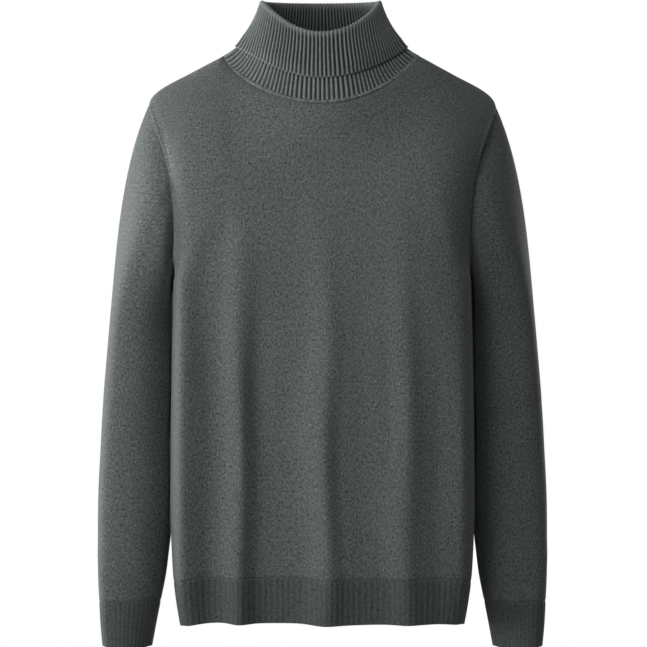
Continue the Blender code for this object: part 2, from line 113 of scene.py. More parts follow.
sleeveHead = {                # where the sleeve sets off: shoulder, front, armpit, back
    "around": [0.00, 0.25, 0.50, 0.75, 1.00],
    "x": [0.40, 0.50, 0.35, 0.20, 0.40],
    "y": [0.00, -0.30, 0.05, 0.15, 0.00],
    "z": [-0.90, -0.80, -0.90, -0.90, -0.90],
    "power": 2.3, "lean": 0.31, "clear": 0.0025, "pull": 0.9,
    "topLevel": -0.330, "cuffTop": -0.6325, "cuffEnd": -0.686,
}
collarTop = {                 # the line along which the collar folds over
    "halfWidth": 0.067, "frontY": -0.064, "backY": 0.060, "sideZ": 0.0536,
    "centreX": -0.002, "frontDrop": 0.0384, "backRise": 0.0010, "power": 2.0, "leftPower": 1.6,
}
# How far the turn-down reaches, and how the stand leaves the neck seam and comes to the fold.
turnDown = {"rightSide": 0.0598, "leftSide": 0.0618, "front": 0.0520, "back": 0.0550}
standLeave = {"side": (-0.075, 0.0, 0.040), "front": (0, 0.038, 0.068), "back": (0, -0.025, 0.060)}
standArrive = {"side": (-0.019, 0.0, 0.064), "front": (0, 0.012, 0.084), "back": (0, -0.008, 0.075)}


def spline(xs, ys, at):       # a smooth curve through a short table
    xs, ys, at = np.asarray(xs, float), np.asarray(ys, float), np.asarray(at, float)
    slope = np.gradient(ys, xs)
    k = np.clip(np.searchsorted(xs, at) - 1, 0, len(xs) - 2)
    width = xs[k + 1] - xs[k]
    t = np.clip((at - xs[k]) / width, 0, 1)
    low = (1 + 2 * t) * (1 - t) ** 2 * ys[k] + t * (1 - t) ** 2 * width * slope[k]
    return low + t * t * (3 - 2 * t) * ys[k + 1] + t * t * (t - 1) * width * slope[k + 1]


def hermite(start, leave, end, arrive, t):
    t = np.asarray(t, float).reshape(-1, 1, 1)
    a, b = (1 + 2 * t) * (1 - t) ** 2, t * (1 - t) ** 2
    return a * start + b * leave + (1 - a) * end + t * t * (t - 1) * arrive


def unit(vectors):
    return vectors / np.maximum(np.linalg.norm(vectors, axis=-1, keepdims=True), 1e-12)


def smooth(t):                # 0 to 1 with soft ends
    t = np.clip(t, 0, 1)
    return t * t * (3 - 2 * t)


def arcOf(points):            # length along a line, from its start
    steps = np.linalg.norm(np.diff(points, axis=0), axis=1)
    return np.concatenate([[0], np.cumsum(steps)])


def atShares(points, shares):
    arc = arcOf(points)
    return np.stack([np.interp(np.asarray(shares) * arc[-1], arc, c) for c in points.T], axis=1)


def foldOut(side, x, level):
    share = spline(folds["level"], folds["share"], level)
    inside = np.maximum(1 - (x / folds["swayEnd"]) ** 2, 0)   # folds wander, but not at the side seams
    x = x + folds["sway"] * inside * np.sin(folds["swayUp"] * level + folds["swayAcross"] * x)
    if side == "front":
        edge = spline(folds["level"], folds["edgeShare"], level)
        share = share + (edge - share) * smooth((folds["edgeFrom"] - x) / folds["edgeReach"])
    return share * spline(folds[side + "X"], folds[side + "Out"], x)


def placeShares(places):      # across a panel come one shoulder, two halves of the neck and a shoulder
    columns, half = shoulder["columns"], neck["columns"] / 2
    fromEdge = np.minimum(places, lastPlace - places)
    toEdge = np.interp(fromEdge, np.arange(columns + 1), shoulder["steps"])
    return toEdge, 1 - np.clip((fromEdge - columns) / half, 0, 1)


def torsoRow(side, level, places):
    depth = spline(torso["level"], torso[side], level)
    power = torso[side + "Power"]
    if level <= armpitLevel:
        halfWidth = edgeX = spline(torso["level"], torso["halfWidth"], level)
    else:
        edgeX = spline(armhole["level"], armhole["x"], level)
        reach = abs(spline(armhole["level"], armhole[side + "Y"], level) - seamY) / depth
        halfWidth = edgeX / (1 - reach**power) ** (1 / power)
    angle = np.linspace(0, np.arcsin(min(1, (edgeX / halfWidth) ** (power / 2))), samples["section"])
    x = halfWidth * np.sin(angle) ** (2 / power)
    reach = np.maximum(np.cos(angle), 0) ** (2 / power)
    reach[angle > math.pi / 2 - 1e-4] = 0
    arc = arcOf(np.stack([x, depth * reach], axis=1))
    middle = np.interp(torso["neckReach"], x, arc)
    toEdge, toMiddle = placeShares(places)
    arcs = middle * toMiddle + (arc[-1] - middle) * (1 - toEdge)
    x = np.interp(arcs, arc, x) * np.sign(places - lastPlace / 2)
    reach = np.interp(arcs, arc, reach)
    wave = foldOut(side, x, level)
    low = spline(folds["level"], folds["share"], level)
    y = depth * reach + wave
    z = level + low * (reach * torso[side + "Rise"] - folds["hemWave"] * wave)
    return np.stack([x, seamY - y if side == "front" else seamY + y, z], axis=1)


def neckSeam(side, count):
    front = side == "front"
    angle = np.linspace(0, np.pi, samples["neck"])
    left = angle > np.pi / 2
    power = np.where(left, neck["leftPower"], neck["frontPower"])
    drop = neck["frontDrop"] * np.sin(angle) ** power if front else neck["backDrop"] * np.sin(angle) ** 2
    forward = (neck[side + "Y"] - seamY) * np.sin(angle) ** neck["forwardPower"][side]
    x = -np.where(left, neck["leftHalfWidth"], neck["halfWidth"]) * np.cos(angle)
    rise = np.where(left, neck["leftRise"], 0) * np.cos(angle) ** 2
    line = np.stack([x, seamY + forward, neck["sideZ"] + rise - drop], axis=1)
    arc = arcOf(line * [1, neck["depthShare"][side], 1])      # depth counts for less in the steps
    at = np.linspace(0, arc[-1], count + 1)
    return np.stack([np.interp(at, arc, c) for c in line.T], axis=1)


def topEdge(side, places):    # the panel's top edge, with the direction in which the cloth reaches it
    front = side == "front"
    seam = neckSeam(side, seamSteps)
    toEdge = placeShares(places)[0]
    middle = np.clip((places - shoulder["columns"]) / neck["columns"], 0, 1)
    at = middle * seamSteps
    edge = np.stack([np.interp(at, np.arange(seamSteps + 1), c) for c in seam.T], axis=1)
    out = toEdge < 1
    sign = np.sign(places[out] - lastPlace / 2)
    atNeck = np.where(sign > 0, toEdge[out] ** 4, 0)
    inwards = (neck["halfWidth"] - neck["leftHalfWidth"]) * atNeck
    edge[out, 0] = (spline(shoulder["share"], shoulder["x"], toEdge[out]) - inwards) * sign
    edge[out, 1] = seamY
    edge[out, 2] = spline(shoulder["share"], shoulder["z"], toEdge[out]) + neck["leftRise"] * atNeck
    centre = np.sin(np.pi * middle) ** 2
    atShoulder = np.clip(toEdge / edgeArrive["easeOver"] - edgeArrive["easeFrom"], 0, 1) ** 2
    ease = np.where(out, atShoulder, np.abs(np.cos(np.pi * middle)))
    over = edgeArrive["over"] + edgeArrive["overEnd"] * ease - edgeArrive["overMiddle"] * centre
    sideways = -edgeArrive["sideways"] * ease * np.sign(edge[:, 0])
    up = edgeArrive["upEnd"] * ease + edgeArrive["upMiddle"] * centre
    return edge, np.stack([sideways, over if front else -over, up], axis=1)


def eased(values, places):    # the same edge with its corners at the neck rounded off
    step = (places[-1] - places[0]) / (len(places) - 1)
    reach = int(round(3 * torso["cornerEase"] / step))
    kernel = np.exp(-0.5 * (np.arange(-reach, reach + 1) * step / torso["cornerEase"]) ** 2)
    before = 2 * values[0] - values[reach:0:-1]
    after = 2 * values[-1] - values[-2 : -reach - 2 : -1]
    padded = np.concatenate([before, values, after])
    return np.stack([np.convolve(c, kernel / kernel.sum(), "valid") for c in padded.T], axis=1)


def torsoPanel(side, places, levels, topSteps):
    rows = [torsoRow(side, level, places) for level in levels]
    chest, under = rows[-1], torsoRow(side, chestLevel - stepUnder, places)
    dense = np.linspace(0, lastPlace, samples["edge"])
    edge, arrive = topEdge(side, dense)
    soft = eased(np.concatenate([edge, arrive], axis=1), dense)
    pick = [np.interp(places, dense, c) for c in np.concatenate([edge, soft], axis=1).T]
    edge, softEdge, arrive = np.stack(pick[:3], 1), np.stack(pick[3:6], 1), np.stack(pick[6:], 1)
    span = np.linalg.norm(softEdge - chest, axis=1, keepdims=True)
    upper = hermite(chest, unit(chest - under) * span * torso["pull"], softEdge, arrive, topSteps[1:])
    upper += (edge - softEdge) * np.array(topSteps[1:]).reshape(-1, 1, 1) ** 4
    return np.concatenate([np.array(rows), upper])


def bodyReach(y, level):      # half width of the torso at a depth, under the armpit
    width = spline(torso["level"], torso["halfWidth"], level)
    reach = 0 * y
    for side, part in (("front", y < seamY), ("back", y >= seamY)):
        depth, power = spline(torso["level"], torso[side], level), torso[side + "Power"]
        inside = np.clip(1 - np.abs((y - seamY) / depth) ** power, 0, 1)
        reach = np.where(part, width * inside ** (1 / power), reach)
    return reach


def sleeveRing(level, shares):  # from the outer line by the front, the body side and the back
    names = ("outer", "inner", "centreY", "halfDepth")
    pick = {key: float(spline(sleeve["level"], sleeve[key], level)) for key in names}
    centre, half = (pick["outer"] + pick["inner"]) / 2, (pick["outer"] - pick["inner"]) / 2
    halves = []
    for sign in (-1, 1):
        angle = np.linspace(0, np.pi, samples["ring"])
        power = 2 / sleeveHead["power"]
        x = centre + half * np.sign(np.cos(angle)) * np.abs(np.cos(angle)) ** power
        x += half * sleeveHead["lean"] * np.sin(angle) ** 2
        y = pick["centreY"] + sign * pick["halfDepth"] * np.abs(np.sin(angle)) ** power
        x = np.maximum(x, bodyReach(y, level) + sleeveHead["clear"])
        halves.append(np.stack([x, y, np.full(len(x), level)], axis=1))
    front = atShares(halves[0], shares[0])
    back = atShares(halves[1][::-1], shares[1])
    return np.concatenate([front, back[1:-1]])


def sleeveGrid(front, back, armRows, topSteps, levels):
    frontLoop, backLoop = front[armRows:, -1][::-1], back[armRows:, -1]
    shares = [arcOf(loop) / arcOf(loop)[-1] for loop in (frontLoop, backLoop)]
    loop = np.concatenate([frontLoop, backLoop[1:-1]])
    top = sleeveHead["topLevel"]
    ring, lower = sleeveRing(top, shares), sleeveRing(top - stepUnder, shares)
    around = np.concatenate([shares[0], 1 + shares[1][1:-1]]) / 2
    leave = np.stack([spline(sleeveHead["around"], sleeveHead[axis], around) for axis in "xyz"], axis=1)
    span = np.linalg.norm(ring - loop, axis=1, keepdims=True)
    upper = hermite(loop, unit(leave) * span * sleeveHead["pull"], ring, unit(lower - ring) * span, topSteps)
    return np.concatenate([upper, np.array([sleeveRing(level, shares) for level in levels[1:]])])


def settled(grid):            # the garment hangs a little lower on its left shoulder
    share = smooth((grid[..., 0] - shoulder["dropFrom"]) / shoulder["dropAcross"])
    upper = smooth((grid[..., 2] - shoulder["dropLevel"]) / shoulder["dropUp"])
    return grid - (shoulder["leftDrop"] * share * upper)[..., None] * [0, 0, 1]


def mirrored(grid):
    return np.concatenate([grid[:, :1], grid[:, :0:-1]], axis=1) * [-1, 1, 1]


def closed(grid):             # a ring with its first column again at the end
    return np.concatenate([grid, grid[:, :1]], axis=1)


def acrossArc(grid):          # length along each row, from its first column
    steps = np.linalg.norm(np.diff(grid, axis=1), axis=-1)
    return np.concatenate([np.zeros((len(grid), 1)), np.cumsum(steps, axis=1)], axis=1)


def upArc(grid):              # length up each column, from its first row
    steps = np.linalg.norm(np.diff(grid, axis=0), axis=-1)
    return np.concatenate([np.zeros((1, grid.shape[1])), np.cumsum(steps, axis=0)])


def gridNormals(grid, ring):
    if ring:
        across = np.roll(grid, -1, axis=1) - np.roll(grid, 1, axis=1)
    else:
        across = np.gradient(grid, axis=1)
    return unit(np.cross(across, np.gradient(grid, axis=0)))


def collarStand(front, back):
    seam = np.concatenate([front, back[-2:0:-1]])
    ends, leaves, arrives, widths = [], [], [], []
    for side in ("front", "back"):
        angle = np.linspace(0, np.pi, samples["neck"])
        rise = -collarTop["frontDrop"] if side == "front" else collarTop["backRise"]
        power = np.where(angle > np.pi / 2, collarTop["leftPower"], collarTop["power"])
        line = np.stack(
            [
                collarTop["centreX"] - collarTop["halfWidth"] * np.cos(angle),
                collarTop[side + "Y"] * np.sin(angle),
                collarTop["sideZ"] + rise * np.sin(angle) ** power,
            ],
            axis=1,
        )
        run = atShares(line, np.linspace(0, 1, len(front if side == "front" else back)))
        turn = np.interp(run[:, 0], line[:, 0], angle)
        weight = np.sin(turn)[:, None] ** 2
        toSide = np.stack([-np.cos(turn), 0 * turn, 0 * turn + 1], axis=1)
        parts = []
        for table in (standLeave, standArrive):
            parts.append((1 - weight) * toSide * table["side"] + weight * np.array(table[side]))
        sideShare = (1 - np.cos(turn)[:, None]) / 2
        atSide = turnDown["rightSide"] * (1 - sideShare) + turnDown["leftSide"] * sideShare
        parts.append((1 - weight) * atSide + weight * turnDown[side])
        for store, values in zip((ends, leaves, arrives, widths), [run] + parts):
            store.append(values if side == "front" else values[-2:0:-1])
    leaves, ends, arrives = (np.concatenate(v) for v in (leaves, ends, arrives))
    return (seam, leaves, ends, arrives), np.concatenate(widths).ravel()


def wire(tree, kind, inputs=(), **settings):   # one shader node, with its inputs set or linked
    made = tree.nodes.new(kind)
    for name, value in settings.items():
        setattr(made, name, value)
    for key, value in dict(inputs).items():
        if isinstance(value, bpy.types.NodeSocket):
            tree.links.new(value, made.inputs[key])
        else:
            made.inputs[key].default_value = value
    return made


def sums(tree, operation, a, b=0.0, c=0.0):
    return wire(tree, "ShaderNodeMath", {0: a, 1: b, 2: c}, operation=operation).outputs[0]


knitLook = {
    "wale": 0.0019, "course": 0.0015,          # one stitch, in metres
    "slant": 0.85, "legPower": 0.6, "stitchDepth": 0.00025, "stitchTone": 0.45, "meanTone": 0.975,
    "grainWide": 0.0020, "grainTall": 0.0026, "grainTwist": 0.6, "grain": 1.02, "heather": 0.16,
    "cloudSize": 0.05, "cloud": 0.07, "darkest": 0.35,
    "fuzzSize": 0.0005, "fuzzDepth": 0.00008, "relief": 0.55,
    "roughness": 0.88, "specular": 0.25,
    "sheen": 0.14, "sheenRoughness": 0.42, "sheenTint": (0.80, 0.86, 0.84, 1),
}


def knitFinish(name, colour, grooves=None, **changes):
    # A knit of V stitches. Its groove setting paints shade into a rib's grooves: how light a groove is
    # painted beside the rib's back.
    look = {**knitLook, **changes}
    material = bpy.data.materials.new(name)
    material.use_nodes = True
    tree = material.node_tree
    shader = tree.nodes["Principled BSDF"]

    def calc(*values):
        return sums(tree, *values)

    stitchMap = wire(tree, "ShaderNodeUVMap", uv_map="stitches").outputs["UV"]
    spot = wire(tree, "ShaderNodeTexCoord").outputs["Object"]
    parts = wire(tree, "ShaderNodeSeparateXYZ", {0: stitchMap}).outputs
    across = calc("DIVIDE", parts[0], look["wale"])
    up = calc("DIVIDE", parts[1], look["course"])
    inWale = calc("ABSOLUTE", calc("SUBTRACT", calc("FRACT", across), 0.5))
    fromMiddle = calc("MULTIPLY", inWale, 2.0)             # 0 in a wale's middle, 1 at its edge
    leg = calc("SINE", calc("MULTIPLY", fromMiddle, math.pi))
    legSoft = calc("POWER", calc("MAXIMUM", leg, 0.0), look["legPower"])
    slid = calc("SUBTRACT", up, calc("MULTIPLY", fromMiddle, look["slant"]))
    loop = calc("SINE", calc("MULTIPLY", calc("FRACT", slid), math.pi))
    loopSoft = calc("MULTIPLY_ADD", loop, 0.5, 0.5)
    stitch = calc("MULTIPLY", legSoft, loopSoft)           # V after V, two legs to a stitch
    cell = wire(tree, "ShaderNodeCombineXYZ", {0: calc("FLOOR", across), 1: calc("FLOOR", slid)})
    heather = wire(tree, "ShaderNodeTexWhiteNoise", {0: cell.outputs[0]}, noise_dimensions="2D").outputs[0]
    grainAcross = calc("DIVIDE", parts[0], look["grainWide"])
    grainUp = calc("DIVIDE", parts[1], look["grainTall"])
    grainSpot = wire(tree, "ShaderNodeCombineXYZ", {0: grainAcross, 1: grainUp}).outputs[0]
    grainSet = {"Vector": grainSpot, "Scale": 1.0, "Detail": 1.0, "Roughness": 0.5,
                "Distortion": look["grainTwist"]}
    cloudSet = {"Vector": spot, "Scale": 1 / look["cloudSize"], "Detail": 3.0, "Roughness": 0.5}
    fuzzSet = {"Vector": spot, "Scale": 1 / look["fuzzSize"], "Detail": 1.0}
    mottle = wire(tree, "ShaderNodeTexNoise", grainSet, noise_dimensions="2D").outputs[0]
    cloud = wire(tree, "ShaderNodeTexNoise", cloudSet).outputs[0]
    fuzz = wire(tree, "ShaderNodeTexNoise", fuzzSet).outputs[0]
    tone = 1.0
    for noise, swing in ((mottle, 2 * look["grain"]), (heather, look["heather"]), (cloud, 2 * look["cloud"])):
        tone = calc("MULTIPLY_ADD", calc("SUBTRACT", noise, 0.5), swing, tone)
    tone = calc("MAXIMUM", tone, look["darkest"])
    # Painted shade between the stitches: the colour darkens where the stitch relief is low.
    plain = look["meanTone"] - look["stitchTone"] / 2            # so that the mean tone stays the same
    tone = calc("MULTIPLY", tone, calc("MULTIPLY_ADD", stitch, look["stitchTone"], plain))
    if grooves is not None:                                      # painted shade: the grooves are painted darker than the rib's back
        ridge = wire(tree, "ShaderNodeAttribute", attribute_name="ridge").outputs["Fac"]
        held = calc("MULTIPLY_ADD", ridge, 1 - grooves, grooves)
        tone = calc("MULTIPLY", tone, held)
    shade = wire(tree, "ShaderNodeVectorMath", {0: colour, "Scale": tone}, operation="SCALE").outputs[0]
    tree.links.new(shade, shader.inputs["Base Color"])
    raised = calc("MULTIPLY", stitch, look["stitchDepth"])
    height = calc("ADD", raised, calc("MULTIPLY", fuzz, look["fuzzDepth"]))
    bump = wire(tree, "ShaderNodeBump", {"Height": height, "Strength": look["relief"], "Distance": 1.0})
    tree.links.new(bump.outputs[0], shader.inputs["Normal"])
    for socket, key in (("Roughness", "roughness"), ("Specular IOR Level", "specular"),
                        ("Sheen Weight", "sheen"), ("Sheen Roughness", "sheenRoughness"),
                        ("Sheen Tint", "sheenTint")):
        shader.inputs[socket].default_value = look[key]
    return material


jersey = knitFinish("jersey_knit", (0.083, 0.093, 0.090))
# The collar's rib knit is painted twice as light as the jersey on the rib backs and near black in the
# grooves: painted light and painted shade across the ribs.
ribKnit = knitFinish("rib_knit", (0.166, 0.184, 0.179), grooves=0.04, grain=0.35, heather=0.10,
                     course=0.0024, slant=0.25, stitchTone=0.85)
# The hem and cuff rib knit is darker than the jersey: painted shade for the weaker light low down, besides
# the painted shade in its grooves.
hemKnit = knitFinish("hem_rib_knit", (0.062, 0.070, 0.067), grooves=0.84, grain=0.75, heather=0.11)
# The linking yarn is painted lighter than the jersey: a painted highlight on the raised seams.
linking = knitFinish("linking_yarn_painted_highlight", (0.122, 0.135, 0.131), grain=0.6, heather=0.10)
print("finishes made")


edgeSwell = {"sewn": 0.0002, "free": 0.0009}     # how far a sewn or a free edge is rounded


def clothPiece(name, outer, inner, uv, ring, material, rims, ridge=None):
    # A closed wall between two grids; rims names how each open edge is rounded: low, high, left, right.
    rows, columns = outer.shape[:2]
    wide = columns + 1 if ring else columns
    count = rows * columns
    index = np.arange(count).reshape(rows, columns)
    if ring:
        index = closed(index)
    a, b = index[:-1, :-1], index[:-1, 1:]
    d, c = index[1:, :-1], index[1:, 1:]
    quads = np.stack([a, b, c, d], axis=-1).reshape(-1, 4)
    spots = np.stack([uv[:-1, : wide - 1], uv[:-1, 1:wide], uv[1:, 1:wide], uv[1:, : wide - 1]], axis=2)
    spots = spots.reshape(-1, 4, 2)
    points = [outer.reshape(-1, 3), inner.reshape(-1, 3)]
    faces = [quads, quads[:, ::-1] + count]
    maps = [spots, spots[:, ::-1]]
    grooveShadeMasks = [ridge.reshape(-1) if ridge is not None else np.ones(count)] * 2
    total = 2 * count
    edges = [
        (index[0], outer[0] - outer[1], uv[0], rims[0], False),
        (index[-1], outer[-1] - outer[-2], uv[-1], rims[1], True),
    ]
    if not ring:
        edges += [
            (index[:, 0], outer[:, 0] - outer[:, 1], uv[:, 0], rims[2], True),
            (index[:, -1], outer[:, -1] - outer[:, -2], uv[:, -1], rims[3], False),
        ]
    flat = points[0]
    near, far = 0.8, 0.2                        # two rows of points round an edge off
    for line, away, mapping, swell, turn in edges:
        own = line[:-1] if ring else line
        top, low = flat[own], points[1][own]
        away = unit(away) * edgeSwell[swell]
        first = near * top + far * low + near * away
        second = far * top + near * low + near * away
        base = len(own)
        points += [first, second]
        grooveShadeMasks += [grooveShadeMasks[0][own]] * 2
        mid = np.arange(base)
        mid = np.concatenate([mid, mid[:1]]) if ring else mid
        strips = [line, total + mid, total + base + mid, line + count]
        for upper, under in zip(strips, strips[1:]):
            strip = np.stack([upper[:-1], under[:-1], under[1:], upper[1:]], axis=-1)
            spot = np.stack([mapping[: len(line) - 1], mapping[: len(line) - 1],
                             mapping[1 : len(line)], mapping[1 : len(line)]], axis=1)
            faces.append(strip[:, ::-1] if turn else strip)
            maps.append(spot[:, ::-1] if turn else spot)
        total += 2 * base
    return meshPiece(name, np.concatenate(points), np.concatenate(faces), np.concatenate(maps),
                     np.concatenate(grooveShadeMasks), material)


def meshPiece(name, points, faces, maps, grooveShadeMasks, material):
    mesh = bpy.data.meshes.new(name)
    mesh.from_pydata(points.tolist(), [], faces.tolist())
    mesh.uv_layers.new(name="stitches").data.foreach_set("uv", maps.reshape(-1).astype(np.float32))
    # The ridge attribute is the mask for the painted shade in rib grooves.
    mesh.attributes.new("ridge", "FLOAT", "POINT").data.foreach_set("value", grooveShadeMasks.astype(np.float32))
    mesh.polygons.foreach_set("use_smooth", [True] * len(faces))
    mesh.materials.append(material)
    mesh.update()
    piece = bpy.data.objects.new(name, mesh)
    bpy.context.collection.objects.link(piece)
    return piece


def clothSize(grid, ring):    # surface of a grid before its details
    sheet = closed(grid) if ring else grid
    across, up = np.diff(sheet, axis=1)[:-1], np.diff(sheet, axis=0)[:, :-1]
    return float(np.linalg.norm(np.cross(across, up), axis=-1).sum())


creasePast, creaseFade = 0.3, 0.5             # shares of its length that a crease runs on by, and fades in


def creaseTaper(along):
    return smooth((along + creasePast) / creaseFade) * smooth((1 + creasePast - along) / creaseFade)


def pushed(grid, creases):    # soft troughs and ridges, each along a line on the panel
    out = np.zeros(grid.shape[:2])
    spot = grid[..., [0, 2]]
    for startX, startLevel, endX, endLevel, width, height, bow in creases:
        start = np.array([startX, startLevel])
        run = np.array([endX, endLevel]) - start
        length = np.linalg.norm(run)
        along = np.clip(((spot - start) @ run) / length**2, -creasePast, 1 + creasePast)
        side = np.array([-run[1], run[0]]) / length
        off = (spot - start) @ side - bow * 4 * along * (1 - along)
        out += height * creaseTaper(along) * np.exp(-(off / width) ** 2)
    return out


def seamDip(distance, depth, reach):          # cloth sinks into a seam
    return -depth * np.exp(-(distance / reach) ** 2)


panels = {
    "columns": 192,
    "lowRows": 118, "armRows": 44, "topRows": 44,
    "wall": 0.0016, "armFade": 6, "creaseEnd": 0.02, "mapPast": 0.024, "mapSlope": 1.5,
    "seamDepth": 0.0006, "seamReach": 0.0022, "ribSeamDepth": 0.0005, "ribSeamReach": 0.0018,
    "ridgeHeight": 0.0019, "ridgeAt": 0.0012, "ridgeReach": 0.0022, "ridgeEnd": 0.030,
    "brimHeight": 0.0034, "brimReach": 0.020, "brimEnd": 0.060,   # the front stays flat up to its armhole
    # Creases: across and level of one end, then of the other, width, height and bow.
    "frontCreases": [
        (-0.150, -0.300, -0.100, -0.200, 0.014, -0.0011, 0.006),
        (-0.158, -0.262, -0.120, -0.170, 0.009, 0.0007, 0.000),
        (0.150, -0.300, 0.106, -0.196, 0.015, -0.0012, -0.006),
        (0.157, -0.255, 0.128, -0.160, 0.009, 0.0008, 0.000),
        (-0.078, -0.600, -0.070, -0.330, 0.013, -0.0016, 0.004),
        (-0.030, -0.590, -0.022, -0.270, 0.014, 0.0011, -0.004),
        (0.018, -0.600, 0.014, -0.380, 0.011, -0.0012, 0.000),
        (0.078, -0.600, 0.064, -0.300, 0.015, 0.0012, 0.005),
        (0.122, -0.560, 0.106, -0.230, 0.016, -0.0016, -0.004),
        (-0.150, -0.570, -0.138, -0.250, 0.014, -0.0014, 0.004),
        (-0.060, -0.120, 0.050, -0.124, 0.018, 0.0006, -0.014),
    ],
    "backCreases": [
        (-0.150, -0.300, -0.104, -0.190, 0.014, -0.0012, 0.006),
        (0.150, -0.295, 0.100, -0.196, 0.014, -0.0012, -0.006),
        (-0.060, -0.600, -0.052, -0.320, 0.014, -0.0014, 0.004),
        (0.045, -0.590, 0.036, -0.300, 0.015, 0.0013, -0.004),
        (0.090, -0.600, 0.082, -0.350, 0.013, -0.0013, 0.000),
        (-0.070, -0.090, 0.070, -0.092, 0.016, -0.0010, -0.010),
    ],
}


def panelMap(grid, lowCount):
    # Wales run straight up the panel, so the place across is the arc of the section at the same x.
    rows = []
    for r in range(lowCount):
        arc = arcOf(grid[r])
        rows.append(arc - np.interp(0.0, grid[r][:, 0], arc))
    chestX, chestArc = grid[lowCount - 1][:, 0], rows[-1]
    past = panels["mapPast"]
    pastArc = past * panels["mapSlope"]
    wideX = np.concatenate([[chestX[0] - past], chestX, [chestX[-1] + past]])
    wideArc = np.concatenate([[chestArc[0] - pastArc], chestArc, [chestArc[-1] + pastArc]])
    for r in range(lowCount, len(grid)):
        rows.append(np.interp(grid[r][:, 0], wideX, wideArc))
    across = np.array(rows)
    up = upArc(grid[..., 1:])
    up -= up[lowCount - 1] - np.median(up[lowCount - 1])
    return np.stack([across, up], axis=-1)


def bodyPanel(side, material):
    build = panels
    places = np.linspace(0, lastPlace, build["columns"] + 1)
    levels = list(np.linspace(ribTopLevel, armpitLevel, build["lowRows"] + 1))
    levels += list(np.linspace(armpitLevel, chestLevel, build["armRows"] + 1)[1:])
    steps = np.linspace(0, 1, build["topRows"] + 1)
    grid = settled(torsoPanel(side, places, levels, steps))
    uv = panelMap(grid, len(levels))
    size = clothSize(grid, False)
    # Distance from each point to the panel's own edges, along rows and columns.
    fromLeft = acrossArc(grid)
    fromSide = np.minimum(fromLeft, fromLeft[:, -1:] - fromLeft)
    fromLow = upArc(grid)
    fromTop = fromLow[-1:] - fromLow
    isArm = smooth((np.arange(len(grid)) - build["lowRows"]) / build["armFade"])[:, None]
    ridge = build["ridgeHeight"] * np.exp(-((fromSide - build["ridgeAt"]) / build["ridgeReach"]) ** 2) * isArm
    ridge *= smooth(fromTop / build["ridgeEnd"])
    if side == "front":
        brim = build["brimHeight"] * np.exp(-(fromSide / build["brimReach"]) ** 2) * isArm
        ridge += brim * smooth(fromTop / build["brimEnd"])
    dips = seamDip(fromSide, build["seamDepth"], build["seamReach"]) * (1 - isArm)
    dips += seamDip(fromTop, build["seamDepth"], build["seamReach"])
    dips += seamDip(fromLow, build["ribSeamDepth"], build["ribSeamReach"])
    calm = smooth(fromSide / build["creaseEnd"]) * smooth(fromTop / build["creaseEnd"])
    out = pushed(grid, build[side + "Creases"]) * calm + ridge + dips
    if side == "back":
        grid, uv, out = grid[:, ::-1], uv[:, ::-1], out[:, ::-1]
    normals = gridNormals(grid, False)
    outer = grid + normals * out[..., None]
    inner = outer - normals * build["wall"]
    piece = clothPiece(side + "_panel", outer, inner, uv, False, material, ["sewn"] * 4)
    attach(piece, "root")
    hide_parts(side + "_body")
    return piece, grid, size


frontPanel, frontGrid, frontSize = bodyPanel("front", jersey)
backPanel, backGrid, backSize = bodyPanel("back", jersey)
print("body panels", round(frontSize, 4), round(backSize, 4))


sleeves = {
    "headRows": 52, "armRows": 118, "wall": 0.0016,
    "edgePlaces": 65, "bodyRows": 2,          # of the panels that it is set into
    "headSink": 0.0056, "backSink": 0.0020, "headRise": 0.004, "headReach": 0.026, "headFree": 0.15,
    # Creases: share of the girth, from one level to another, turn on the way, width and height.
    "creases": [
        (0.50, -0.300, -0.360, 0.16, 0.012, -0.0012),
        (0.40, -0.350, -0.420, 0.22, 0.013, 0.0010),
        (0.34, -0.410, -0.455, 0.30, 0.013, -0.0014),
        (0.30, -0.440, -0.500, 0.24, 0.014, 0.0010),
        (0.66, -0.300, -0.370, -0.14, 0.012, -0.0012),
        (0.72, -0.400, -0.450, -0.22, 0.013, -0.0013),
        (0.25, -0.560, -0.620, 0.10, 0.010, -0.0009),
        (0.12, -0.575, -0.625, 0.08, 0.009, 0.0008),
    ],
}


